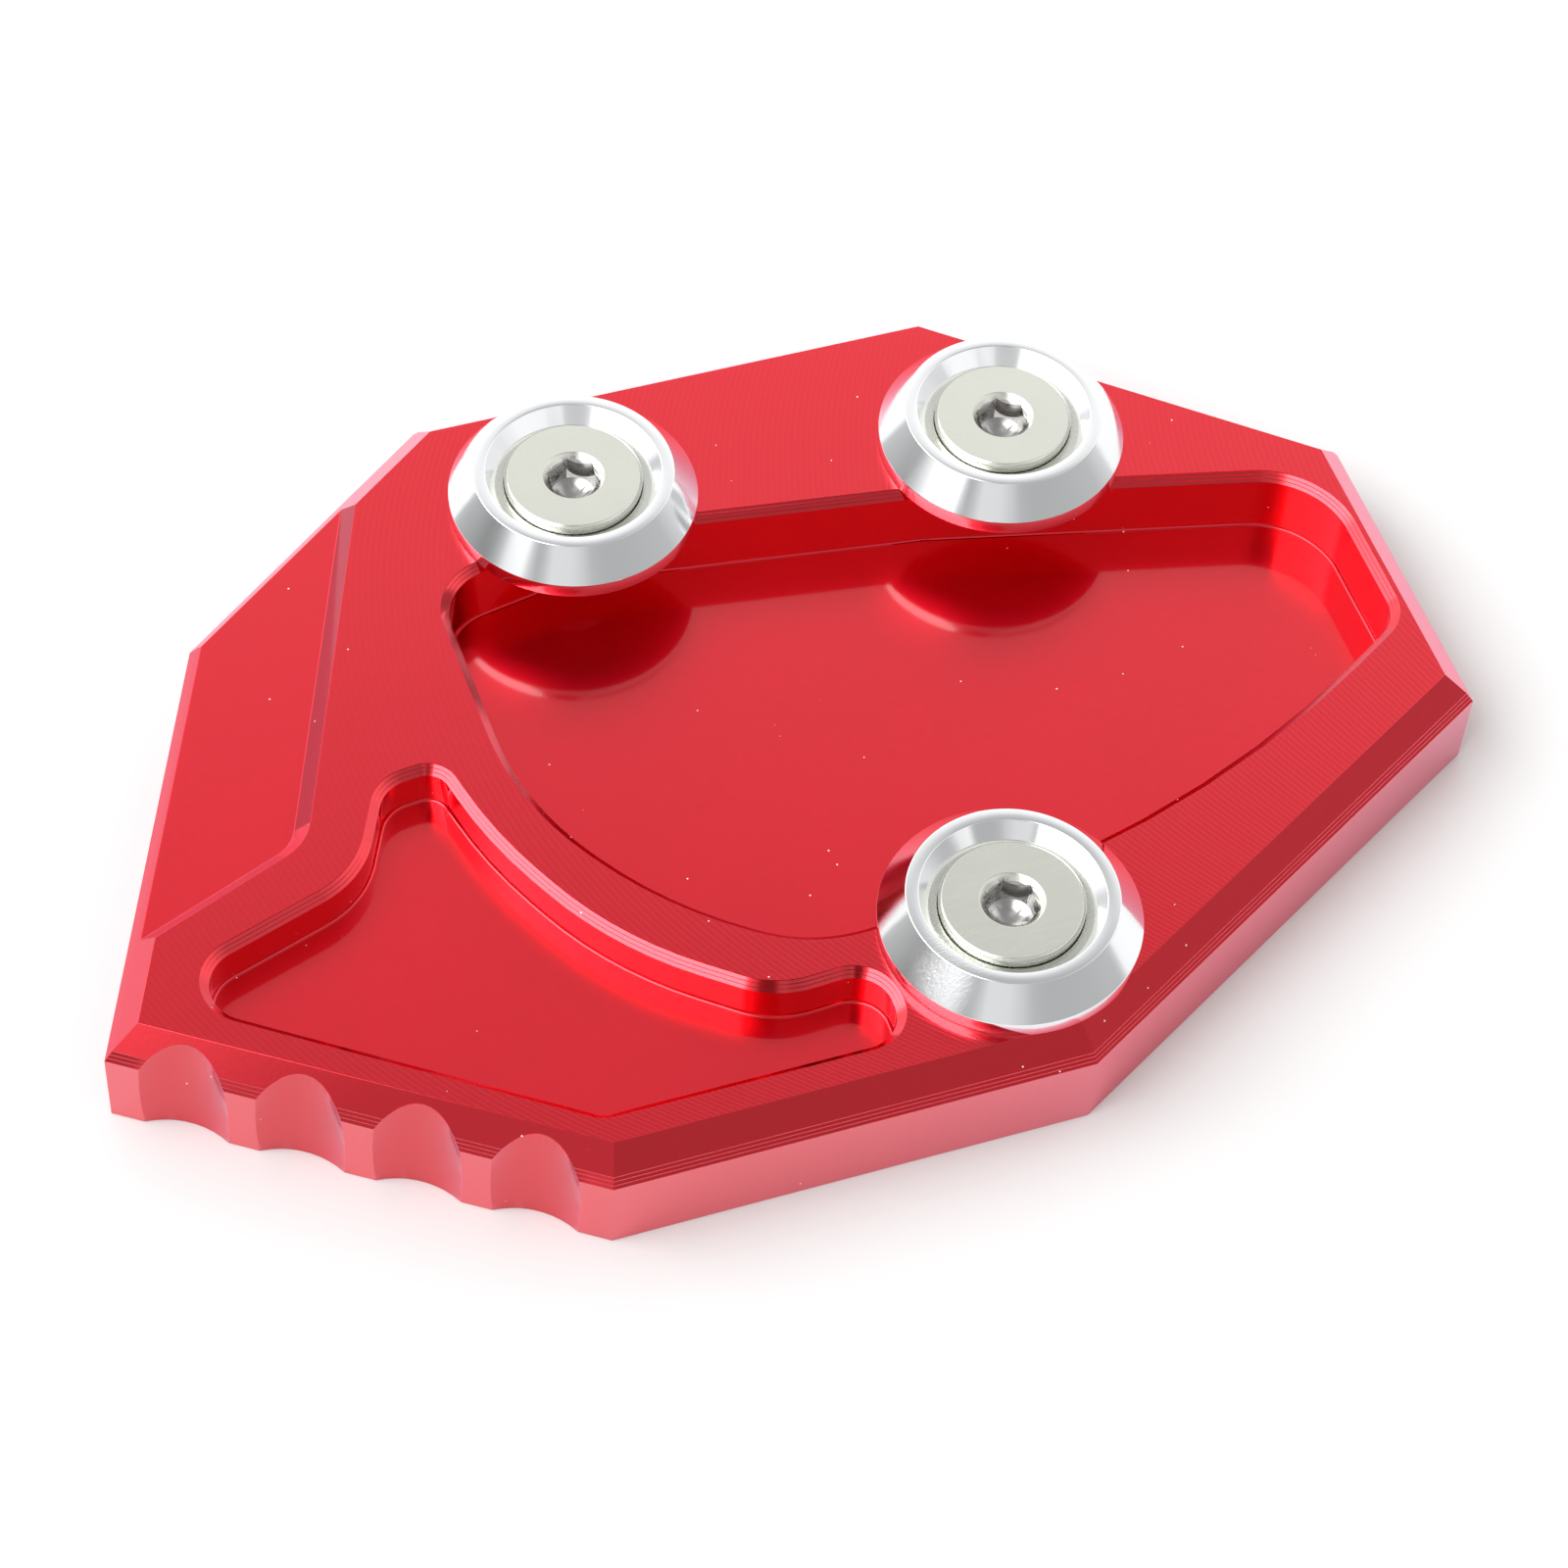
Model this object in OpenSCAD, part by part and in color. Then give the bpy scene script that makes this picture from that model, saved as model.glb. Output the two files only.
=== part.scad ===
// Kickstand foot enlarger: a wide machined plate that takes the foot of a side stand in a
// deep pocket. Three cone washers with countersunk screws reach over the rim of the pocket
// and clamp the foot.
// The plate lies flat with its top up. The origin is under the middle of the plate's box.

/* [Plate] */
// Length of the plate, left to right
plate_len = 120; // [112:1:140]
// Width of the plate, front to back
plate_wid = 80.5; // [76:0.5:96]
// Thickness of the plate
plate_t = 10.2; // [9:0.1:14]
// Length of the straight right end
right_flat = 29.5; // [24:0.5:34]
// Length of the straight front edge
front_flat = 40.5; // [34:0.5:46]
// How far the front edge starts from the left end
front_in = 34.8; // [30:0.2:40]
// How far the back edge starts from the left end
back_in = 41.5; // [36:0.5:46]
// How far the back edge stops short of the right end
back_out = 31; // [26:0.5:36]
// Height of the left tip above the front edge
tip_up = 23.2; // [20:0.2:28]
// How far the back left shoulder lies in from the left end
shoulder_in = 16.5; // [12:0.5:20]
// How far the back left shoulder lies below the back edge
shoulder_down = 18.75; // [14:0.25:24]
// Width of the chamfer round the top edge
edge_bevel = 2.5; // [1.5:0.1:3.2]
// Width of the ridged band that the cutter's tip left along the chamfer's foot
bevel_band = 0.6; // [0.4:0.05:0.9]
// Number of ridges in that band
bevel_ridges = 3; // [1:1:4]
// Height of the small step above each ridge
bevel_step = 0.08; // [0.04:0.02:0.12]

/* [Lowered shelf] */
// Drop of the shelf on the left below the top face
shelf_drop = 1.4; // [0.8:0.1:2]
// Radius where the two runs of the shelf's edge meet
shelf_corner_r = 5; // [3:0.5:8]

/* [Pockets] */
// Depth of the pocket that holds the stand's foot
foot_depth = 6.4; // [4:0.1:7]
// Length of the foot pocket
foot_len = 79.6; // [72:0.1:84]
// Width of the land between the right end and the foot pocket
foot_land = 2.9; // [2.7:0.1:5]
// Width of the land in front of the foot pocket
foot_front_land = 15.7; // [14:0.1:18]
// Width of the land behind the foot pocket
foot_back_land = 16.5; // [15:0.1:20]
// Depth of the lightening pocket at the front left
side_depth = 4; // [2:0.1:6]
// Width of the land between the front edge and the lightening pocket
side_land = 4.8; // [3.4:0.1:6]
// Width of the land between the left tip and the lightening pocket
side_tip_land = 3.3; // [3:0.1:8]
// Width of the wall between the two pockets
pocket_wall = 2.2; // [1.8:0.1:4]
// Width and depth of the stepped lip round both pockets
lip = 0.75; // [0.45:0.05:1.2]
// Number of steps in the lip
lip_steps = 3; // [2:1:4]

/* [Scallops] */
// Number of scallops along the front left edge
scallop_count = 4; // [3:1:4]
// Radius of each scallop's cutter where it passes the ground
scallop_r = 7.8; // [7:0.1:8.2]
// Distance from one scallop to the next
scallop_pitch = 9.7; // [9.2:0.1:10.4]
// Depth of each scallop at the ground, from where it deepens upwards
scallop_depth = 0.95; // [0.6:0.05:1.1]

/* [Clamp washers] */
// Outer diameter of a washer
washer_d = 21.7; // [19:0.1:24]
// Height of a washer
washer_h = 4.1; // [3.6:0.1:5]
// Height of the upright rim under the outer cone
washer_rim_h = 1.35; // [0.8:0.05:2]
// Mouth diameter of the countersink
mouth_d = 15.3; // [14.4:0.1:16.2]
// Width of the flat ring round the countersink
ring_w = 1.05; // [0.6:0.05:1.5]
// Gap between the thread and the washer's bore
bore_gap = 1.05; // [0.4:0.05:1.4]

/* [Screws] */
// Thread diameter
thread_d = 6; // [4:0.5:7]
// Length of a screw, head included
screw_len = 12; // [9:0.5:12]
// Diameter of the screw head
head_d = 12; // [11:0.1:13]
// Height of the upright side of the head above its cone
head_side = 0.95; // [0.6:0.05:1.2]
// Small bevel round the top of the head
head_bevel = 0.25; // [0.1:0.05:0.4]
// Width across flats of the hexagon socket
hex_af = 4; // [3:0.1:5]
// Depth of the hexagon socket
hex_depth = 2.4; // [1.5:0.1:2.8]
// Mouth diameter of the bevel round the hexagon socket
hex_mouth_d = 5.4; // [5:0.1:6.4]
// Angle of the drill that opened the socket
drill_angle = 118; // [90:2:140]
// Gap between a screw and the faces that it fits
fit_gap = 0.05; // [0.02:0.01:0.1]

/* [Hidden] */

// Largest turn between two points of a rounded outline, in degrees
arc_step = 4;
round_fn = 96;
over = 1;

left_x = -plate_len / 2;
right_x = plate_len / 2;
front_y = -plate_wid / 2;
back_y = plate_wid / 2;

// The plate's corners, counterclockwise from the shoulder on the back left
plate_corners = [
    [left_x + shoulder_in, back_y - shoulder_down],
    [left_x, front_y + tip_up],
    [left_x + front_in, front_y],
    [left_x + front_in + front_flat, front_y],
    [right_x, -right_flat / 2],
    [right_x, right_flat / 2],
    [right_x - back_out, back_y],
    [left_x + back_in, back_y],
];

// Sides of the foot pocket, and what they leave of the plate on the left
foot_right = right_x - foot_land;
foot_left = foot_right - foot_len;
foot_front = front_y + foot_front_land;
foot_back = back_y - foot_back_land;
left_room = foot_left - left_x;
foot_wid = foot_back - foot_front;

// A place given as shares of the foot pocket's length and width, from its front left
function foot_at(along, across) = [foot_left + along * foot_len, foot_front + across * foot_wid];

// The foot pocket at the top face: each corner as x, y and the radius that rounds it
foot_outline = [
    [foot_right, -0.217 * right_flat, 4.6],
    [foot_right, 0.393 * right_flat, 8.5],
    concat(foot_at(0.564, 0.911), 10),
    concat(foot_at(0.162, 1), 10),
    concat(foot_at(-0.0025, 0.95), 6),
    concat(foot_at(0.0025, 0.43), 28),
    concat(foot_at(0.108, 0.151), 37),
    concat(foot_at(0.236, 0), 13.5),
    concat(foot_at(0.637, 0.0145), 100),
];

// The lightening pocket in the same form: a triangle with hollowed sides whose long side
// follows the foot pocket at the width of the wall between them
side_low = front_y + side_land;
side_right = foot_at(0.305, 0).x;
wall_x = foot_left - pocket_wall;
wall_y = foot_front - pocket_wall;
side_outline = [
    [left_x + front_in + 0.6, side_low, 3],
    [side_right, side_low, 3.9],
    [side_right, wall_y - 0.1, 3.9],
    [wall_x + 0.215 * foot_len, wall_y - 0.6, 8],
    [wall_x + 0.08 * foot_len, foot_at(0, 0.116).y, 33],
    [wall_x, foot_at(0, 0.379).y, 42],
    [wall_x - 2, foot_at(0, 0.563).y, 2.7],
    [left_x + 0.733 * left_room, foot_at(0, 0.551).y, 4.2],
    [left_x + 0.624 * left_room, foot_at(0, 0.371).y, 8.3],
    [left_x + side_tip_land, front_y + tip_up + 3.8, 4.3],
];

// The shelf's upper edge bends once; its two runs leave the plate on the left and at the back
shelf_bend = [left_x + 0.544 * left_room, foot_at(0, 0.449).y];
shelf_run_left = 201.9;
shelf_run_back = 68.6;

// Where the three screws stand, so that each washer reaches over the foot pocket's rim
screw_spots = [
    foot_at(0.182, 1.055),
    foot_at(0.663, 0.976),
    foot_at(0.4385, -0.053),
];
// Turn of each hexagon socket
hex_turns = [28, 24, 30];

hole_d = thread_d + 2 * fit_gap;
// The countersink is a right angle, so it narrows as fast as it sinks
seat_z = washer_h - (mouth_d - head_d) / 2 + fit_gap;
head_top = seat_z + head_side;
// The countersink ends in an upright bore that clears the thread and has a least height
bore_h = max(0.5, washer_h - mouth_d / 2 + thread_d / 2 + bore_gap);
bore_d = mouth_d - 2 * (washer_h - bore_h);
ring_d = mouth_d + 2 * ring_w;
hex_corners_d = hex_af / cos(30);
// The socket was drilled a little narrower than the hexagon before it was pressed in
drill_r = hex_af / 2 - 0.1;

function unit(v) = v / norm(v);
function turn_between(u, v) = atan2(u.x * v.y - u.y * v.x, u * v);
function outward(u) = [u.y, -u.x];
function wrap(list, i) = list[(i + len(list)) % len(list)];
function place(list, i) = [wrap(list, i).x, wrap(list, i).y];

// Length that the rounding of corner i takes from each of its two sides
function taken(list, i) =
    let (b = place(list, i),
         turn = turn_between(unit(b - place(list, i - 1)), unit(place(list, i + 1) - b)))
    wrap(list, i)[2] * tan(abs(turn) / 2);

// Share of its radius that side i, from corner i to the next, has room for
function room(list, i) =
    min(1, norm(place(list, i + 1) - place(list, i)) / (taken(list, i) + taken(list, i + 1)));

// Points of one rounded corner, with the outline grown by g
function corner_arc(list, i, g) =
    let (b = place(list, i),
         u = unit(b - place(list, i - 1)),
         v = unit(place(list, i + 1) - b),
         turn = turn_between(u, v),
         bend = sign(turn),
         tip = b + g * (outward(u) + outward(v)) / (1 + outward(u) * outward(v)),
         fitted = wrap(list, i)[2] * min(room(list, i - 1), room(list, i)),
         r = max(fitted + bend * g, 0.05),
         middle = tip - u * r * tan(abs(turn) / 2) - bend * r * outward(u),
         steps = ceil(abs(turn) / arc_step),
         start = atan2(bend * outward(u).y, bend * outward(u).x))
    [for (j = [0:steps]) middle + r * [cos(start + turn * j / steps), sin(start + turn * j / steps)]];

function rounded(list, g = 0) = [for (i = [0:len(list) - 1]) each corner_arc(list, i, g)];

// Cuts a pocket into the top face: fine steps down the lip, then an upright wall
module pocket(outline, depth) {
    step = lip / lip_steps;
    for (i = [0:lip_steps])
        let (down = i < lip_steps ? (i + 1) * step : depth)
            translate([0, 0, plate_t - down])
                linear_extrude(down + over)
                    polygon(rounded(outline, -i * step));
}

// Runs a cutter along the line from a to b. The profile is drawn looking from a to b:
// x is the distance into the plate on the left, and y the height above the top face
module along(a, b, profile, extra) {
    run = b - a;
    translate([a.x, a.y, plate_t])
        rotate([0, 0, atan2(run.y, run.x)])
            translate([norm(run) + extra, 0, 0])
                rotate([90, 0, -90])
                    linear_extrude(norm(run) + 2 * extra)
                        polygon([for (p = profile) [-p.x, p.y]]);
}

// What is cut off the bar along one edge: the wall, the chamfer and the ridges at its foot
module edge_cut(a, b) {
    waste = 40;
    ridge = bevel_band / bevel_ridges;
    band_top = bevel_band - edge_bevel;
    wall_top = -edge_bevel - bevel_ridges * bevel_step;
    below = -plate_t - over;
    ridges = [
        for (i = [0:bevel_ridges - 1])
            let (y = band_top - i * (ridge + bevel_step))
                each [[bevel_band - i * ridge, y], [bevel_band - i * ridge, y - bevel_step]]
    ];
    profile = concat(
        [[edge_bevel + over, over], [edge_bevel, 0]],
        ridges,
        [[0, wall_top], [0, below], [-waste, below], [-waste, over]]
    );
    along(a, b, profile, 20);
}

// The shelf: two runs with a slope of 45 degrees and a cone where they meet
module shelf_cut() {
    reach = 80;
    half = (shelf_run_left - shelf_run_back) / 2;
    to_left = [cos(shelf_run_left), sin(shelf_run_left)];
    to_back = [cos(shelf_run_back), sin(shelf_run_back)];
    middle_way = [cos(shelf_run_back + half), sin(shelf_run_back + half)];
    near = shelf_corner_r / tan(half);
    profile = [
        [-over, over],
        [shelf_drop, -shelf_drop],
        [reach, -shelf_drop],
        [reach, over],
    ];
    // Both runs are walked with the shelf on their left
    along(shelf_bend + reach * to_left, shelf_bend + near * to_left,
          profile, 0);
    along(shelf_bend + near * to_back, shelf_bend + reach * to_back,
          profile, 0);
    translate(concat(shelf_bend + middle_way * shelf_corner_r / sin(half), plate_t - shelf_drop))
        cylinder(h = shelf_drop + over, r1 = shelf_corner_r - shelf_drop,
                 r2 = shelf_corner_r + over, $fn = round_fn);
}

// Scallops through the front left edge, evenly about its middle. The tapered cutter leans
// outwards towards the ground, so each scallop is deepest at the top
module scallops() {
    taper = 20;
    lean = 26;
    a = plate_corners[1];
    b = plate_corners[2];
    edge = unit(b - a);
    // Share of the axis in a height, and of the radius in a level reach, along the inner side
    slant = cos(taper) / cos(lean - taper);
    length = (plate_t + over + scallop_r * sin(lean)) * slant;
    centre = (a + b) / 2 + (scallop_r * slant - scallop_depth) * outward(edge);
    for (i = [0:scallop_count - 1])
        translate(centre + (i - (scallop_count - 1) / 2) * scallop_pitch * edge)
            rotate([-lean, 0, atan2(edge.y, edge.x)])
                cylinder(h = length, r1 = scallop_r, r2 = scallop_r - length * tan(taper),
                         $fn = round_fn);
}

// A tapped hole right through, with a mouth that clears the foot of the head's cone
module tapped_hole() {
    mouth_r = head_d / 2 - seat_z + 2 * fit_gap;
    translate([0, 0, -over])
        cylinder(h = plate_t + 2 * over, d = hole_d, $fn = round_fn);
    translate([0, 0, plate_t - (mouth_r - hole_d / 2)])
        cylinder(h = mouth_r - hole_d / 2 + over, r1 = hole_d / 2, r2 = mouth_r + over,
                 $fn = round_fn);
}

module plate() {
    count = len(plate_corners);
    color([0.78, 0.09, 0.13])
        difference() {
            translate([left_x - over, front_y - over, 0])
                cube([plate_len + 2 * over, plate_wid + 2 * over, plate_t]);
            for (i = [0:count - 1])
                edge_cut(plate_corners[i], plate_corners[(i + 1) % count]);
            shelf_cut();
            pocket(foot_outline, foot_depth);
            pocket(side_outline, side_depth);
            scallops();
            for (spot = screw_spots)
                translate(spot) tapped_hole();
        }
}

// A turned washer: upright rim, outer cone, flat ring and countersink
module washer(spot) {
    color([0.86, 0.87, 0.88])
        translate(concat(spot, plate_t))
            rotate_extrude($fn = round_fn)
                polygon([
                    [bore_d / 2, 0],
                    [washer_d / 2, 0],
                    [washer_d / 2, washer_rim_h],
                    [ring_d / 2, washer_h],
                    [mouth_d / 2, washer_h],
                    [bore_d / 2, bore_h],
                ]);
}

// A countersunk screw: plain shank in place of the thread, hexagon socket with a bevelled mouth
module screw(spot, hex_turn) {
    cone_end = seat_z - (head_d - thread_d) / 2;
    tip = head_top - screw_len;
    tip_bevel = 0.8;
    mouth_r = hex_mouth_d / 2;
    drill_tip = drill_r / tan(drill_angle / 2);
    color([0.74, 0.74, 0.69])
        translate(concat(spot, plate_t))
            difference() {
                rotate_extrude($fn = round_fn)
                    polygon([
                        [0, tip],
                        [thread_d / 2 - tip_bevel, tip],
                        [thread_d / 2, tip + tip_bevel],
                        [thread_d / 2, cone_end],
                        [head_d / 2, seat_z],
                        [head_d / 2, head_top - head_bevel],
                        [head_d / 2 - head_bevel, head_top],
                        [0, head_top],
                    ]);
                translate([0, 0, head_top - hex_depth])
                    rotate([0, 0, hex_turn])
                        cylinder(h = hex_depth + over, d = hex_corners_d, $fn = 6);
                translate([0, 0, head_top - hex_depth - drill_tip])
                    cylinder(h = drill_tip, r1 = 0, r2 = drill_r, $fn = round_fn);
                translate([0, 0, head_top - (mouth_r - drill_r)])
                    cylinder(h = mouth_r - drill_r + over, r1 = drill_r, r2 = mouth_r + over,
                             $fn = round_fn);
            }
}

plate();
washer(screw_spots[0]);  // washer_left
washer(screw_spots[1]);  // washer_back
washer(screw_spots[2]);  // washer_front
screw(screw_spots[0], hex_turns[0]);  // screw_left
screw(screw_spots[1], hex_turns[1]);  // screw_back
screw(screw_spots[2], hex_turns[2]);  // screw_front
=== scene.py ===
import math

import bmesh
import bpy
from mathutils import Matrix, Vector


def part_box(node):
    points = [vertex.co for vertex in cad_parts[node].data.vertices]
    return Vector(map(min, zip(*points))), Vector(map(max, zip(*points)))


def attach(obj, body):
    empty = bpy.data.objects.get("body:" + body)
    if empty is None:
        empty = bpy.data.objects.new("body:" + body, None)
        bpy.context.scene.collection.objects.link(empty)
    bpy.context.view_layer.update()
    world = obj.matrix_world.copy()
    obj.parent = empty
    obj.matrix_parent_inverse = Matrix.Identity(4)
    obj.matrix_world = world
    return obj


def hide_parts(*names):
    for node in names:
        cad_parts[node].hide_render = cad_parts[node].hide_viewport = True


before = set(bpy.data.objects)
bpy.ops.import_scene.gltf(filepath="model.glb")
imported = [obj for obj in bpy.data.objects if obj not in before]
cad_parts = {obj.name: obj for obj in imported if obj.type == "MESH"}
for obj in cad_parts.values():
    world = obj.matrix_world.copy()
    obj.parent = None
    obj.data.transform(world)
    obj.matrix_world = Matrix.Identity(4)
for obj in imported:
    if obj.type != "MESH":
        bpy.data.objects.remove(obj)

bl_info = {
    "name": "Kickstand foot enlarger",
    "version": (1, 0, 0),
    "blender": (4, 5, 0),
    "location": "3D View > Sidebar > Foot enlarger",
    "description": "Finishes the milled plate, its cone washers and screws, and sets the studio",
    "category": "Object",
}

MM = 0.001
SPOTS = ("left", "back", "front")

# Heights closer than this are one height, and points closer than a tenth of it are one point
SAME = 0.01 * MM

# How steep a face is, by the upward part of its normal
FLAT = 0.999
LEVEL = 0.99
NEARLY_LEVEL = 0.98
SLOPE = (0.5, 0.9)
LEANING = 0.4
UPRIGHT = 0.1
PLUMB = 0.01
DOWNWARD = -0.5

# Degrees over which an edge is rounded, on the plate, a washer and a screw
PLATE_BREAK = 24
WASHER_BREAK = 20
SCREW_BREAK = 28

# Degrees over which shading has a crease, on the plate and screws, and on a washer
CREASE = 34
WASHER_CREASE = 40

# Degrees under which two flat faces become one, and under which a tread's triangles may turn
JOIN_UNDER = 0.4
TURN_UNDER = 10

# Depths under the plate's top between which the lips' treads lie, and the lips' full depth
TREADS = (0.1 * MM, 0.8 * MM)
LIP_DEPTH = 1.0 * MM

# Least depth of a long slope's foot, and of its middle where it is the bevel and not the
# shelf's step
SLOPE_FOOT = 1.2 * MM
BEVEL_MIDDLE = 0.8 * MM

# Depths of the low ridges under the long bevel, and of the outer walls' upper end
RIDGES = (1.8 * MM, 2.8 * MM)
WALL_TOP = 2.7 * MM

# Depths that have the foot pocket's floor, and the side pocket's floor, next under them
OVER_FLOORS = (4.5 * MM, 3.0 * MM)

# Most height of a low step's upright
LOW_STEP = 0.33 * MM

# Most depth of a face of the top, and most height of an outer wall's foot
TOP_REACH = 0.05 * MM
WALL_FOOT = 0.3 * MM

# How far at most a face lies inside the outer walls: a wall, a ridge over it, a scallop
WALL_INSET = 0.03 * MM
RIDGE_INSET = 0.62 * MM
SCALLOP_INSET = 2.3 * MM

# Least area of a flat face that keeps its own shading, an outer wall and a floor, and the
# area under which a face is a sliver
FLAT_AREA = 3 * MM * MM
WALL_AREA = 15 * MM * MM
FLOOR_AREA = 100 * MM * MM
SLIVER_AREA = 0.0005 * MM * MM

# The cone washer: radii from the outside in, and heights over its foot
WASHER_RADIUS = 10.85 * MM
RING_RADIUS = 8.7 * MM
MOUTH_RADIUS = 7.65 * MM
BORE_RADIUS = 4.05 * MM
RIM_HEIGHT = 1.35 * MM
WASHER_HEIGHT = 4.1 * MM
BORE_HEIGHT = 0.5 * MM

# The screw's socket: its radius with the mouth, and how deep its faces lie
SOCKET_RADIUS = 2.33 * MM
SOCKET_DEPTHS = (0.08 * MM, 3.0 * MM)

# The face mill's middle across the plate, and how far its arcs stray
MILL_MIDDLE = 6 * MM
MILL_WANDER = 0.25 * MM

# Distance between the fine lines on the ridges
RIDGE_LINES = 0.14 * MM

# Height of each kind of mark, as bump
ARC_BUMP = 0.011 * MM
RIDGE_BUMP = 0.012 * MM
GRAIN_BUMP = 0.0022 * MM
STREAK_BUMP = 0.0016 * MM
TURNING_BUMP = 0.0016 * MM
BRUSH_BUMP = 0.0002 * MM

# Middle of the scuffed place on the front washer, and its outer and inner radius
SCUFFED = (5.6 * MM, -31.4 * MM, 12.2 * MM)
SCUFFED_REACH = (4.6 * MM, 1.8 * MM)

# What the dyed layer leaves of light that grazes it
EDGE_TINT = (1.0, 0.7, 1.0, 1.0)

# White specks: colour, cells per metre, outer and inner radius beside a cell, and the share
# of cells that stay clean
SPECK = (0.9, 0.82, 0.82, 1.0)
SPECK_CELLS = 650.0
SPECK_REACH = (0.06, 0.035)
CLEAN_SHARE = 0.8

# The studio: the tent's lower rim as azimuth and height in degrees
TENT_RIM = [
    (-180, 18), (-165, 19), (-150, 22), (-141, 29), (-137, 33), (-131, 40), (-122, 46),
    (-100, 45), (-90, 40), (-72, 38), (-64, 34), (-56, 27), (-45, 24), (-25, 24), (0, 12),
    (30, 4), (100, 4), (150, 14), (180, 18)]

# Brightness beside white paper: of the room under the rim by azimuth, of the tent by height,
# and a factor on the tent by azimuth
ROOM_LEVELS = [
    (-180, 0.3), (-170, 0.42), (-160, 0.8), (-150, 0.95), (-144, 0.66), (-138, 0.46),
    (-132, 0.58), (-125, 0.8), (-108, 0.78), (-98, 0.66), (-90, 0.52), (-80, 0.48),
    (-70, 0.48), (-45, 0.5), (-22, 0.54), (0, 0.8), (30, 1.0), (100, 1.0), (118, 0.85),
    (135, 0.6), (160, 0.42), (172, 0.3), (180, 0.3)]
TENT_LEVELS = [
    (0, 1.0), (20, 1.0), (30, 1.35), (42, 1.3), (47, 1.04), (50, 0.96), (54, 0.7), (60, 0.52),
    (75, 0.5), (90, 0.8)]
TENT_SIDES = [
    (-180, 1.3), (-125, 1.0), (-100, 0.8), (-30, 0.8), (10, 0.95), (62, 0.98), (80, 1.0),
    (112, 1.3), (180, 1.3)]

# Degrees over the rim between which the room turns into the tent, and into the softbox
RIM_FADE = (-2, 3)
SOFTBOX_RISE = (6, 14)

# The softbox: its azimuth, outer and inner angle from there in degrees, and brightness
SOFTBOX_SIDE = -158
SOFTBOX_SPREAD = (77, 66)
SOFTBOX_LEVEL = 5.0

# The tent's opening for the lens and the collar around it, each with outer and inner angle
LENS = (-112, 54)
LENS_REACH = (9, 6)
LENS_LEVEL = 0.12
COLLAR_REACH = (16, 12)
COLLAR_LEVEL = 0.64

# The floor, its grey and how far it lies under the plate
FLOOR_SIZE = 8
FLOOR_SHADE = 0.76
FLOOR_GAP = 0.02 * MM

# The camera's place in metres, its turn in degrees, and its lens and sensor in millimetres
EYE = (-0.083407, -0.20889, 0.290424)
EYE_TURN = (37.67927, -2.81255, -18.83327)
FOCAL_LENGTH = 98.315
SENSOR_WIDTH = 36


class FootEnlargerSizes(bpy.types.PropertyGroup):
    """Sizes of the finishing work that the solids leave plain"""

    edge_break: bpy.props.FloatProperty(
        name="Broken edge", description="Rounding of the plate's sharp edges",
        default=0.05 * MM, min=0.0, unit="LENGTH")
    fine_break: bpy.props.FloatProperty(
        name="Fine edge", description="Rounding of the low ridges under the long bevel",
        default=0.02 * MM, min=0.0, unit="LENGTH")
    lip_fill: bpy.props.FloatProperty(
        name="Lip fill", description="How far the inner corner of each step of a lip is filled",
        default=0.165 * MM, min=0.0, unit="LENGTH")
    floor_round: bpy.props.FloatProperty(
        name="Floor edge", description="Rounding that the cutter left where walls meet floors",
        default=0.22 * MM, min=0.0, unit="LENGTH")
    washer_break: bpy.props.FloatProperty(
        name="Washer edge", description="Width of the rounding on the washers' edges",
        default=0.06 * MM, min=0.0, unit="LENGTH")
    socket_break: bpy.props.FloatProperty(
        name="Socket edge", description="Width of the rounding on the hexagon socket",
        default=0.05 * MM, min=0.0, unit="LENGTH")
    mill_feed: bpy.props.FloatProperty(
        name="Face mill feed", description="Distance between the arcs that the face mill left",
        default=0.55 * MM, min=0.1 * MM, unit="LENGTH")
    mill_radius: bpy.props.FloatProperty(
        name="Face mill radius", description="Radius of the face mill's arcs",
        default=60 * MM, min=5 * MM, unit="LENGTH")


class FootEnlargerColours(bpy.types.PropertyGroup):
    """Colours of the finishes"""

    anodised: bpy.props.FloatVectorProperty(
        name="Anodised red", description="Colour of the dyed layer on the plate",
        subtype="COLOR", size=3, min=0.0, max=1.0, default=(0.80, 0.006, 0.022))
    polished: bpy.props.FloatVectorProperty(
        name="Polished aluminium", description="Colour of the turned washers",
        subtype="COLOR", size=3, min=0.0, max=1.0, default=(0.90, 0.91, 0.92))
    nickel: bpy.props.FloatVectorProperty(
        name="Satin nickel", description="Colour of the plated screws",
        subtype="COLOR", size=3, min=0.0, max=1.0, default=(0.74, 0.745, 0.675))
    # Darker grey than the nickel: painted shade for the inside of the sockets' recess
    socket: bpy.props.FloatVectorProperty(
        name="Socket", description="Colour inside the screws' hexagon sockets",
        subtype="COLOR", size=3, min=0.0, max=1.0, default=(0.5, 0.49, 0.48))


def box_of(node_name):
    """Lowest and highest corner of a node of the frame, as vectors."""
    low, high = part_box(node_name)
    return Vector(low), Vector(high)


def centre_of(node_name):
    """Middle of a node of the frame seen from above, at the node's foot."""
    low, high = box_of(node_name)
    return Vector(((low.x + high.x) / 2, (low.y + high.y) / 2, low.z))


def select_alone(obj):
    """Make obj the only selected and active object."""
    if bpy.context.mode != "OBJECT":
        bpy.ops.object.mode_set(mode="OBJECT")
    bpy.ops.object.select_all(action="DESELECT")
    obj.select_set(True)
    bpy.context.view_layer.objects.active = obj


def edit(obj):
    """Open obj in edit mode with nothing selected."""
    select_alone(obj)
    bpy.ops.object.mode_set(mode="EDIT")
    bpy.ops.mesh.select_mode(type="VERT")
    bpy.ops.mesh.select_all(action="DESELECT")


def done():
    """Leave edit mode."""
    bpy.ops.object.mode_set(mode="OBJECT")


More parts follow.
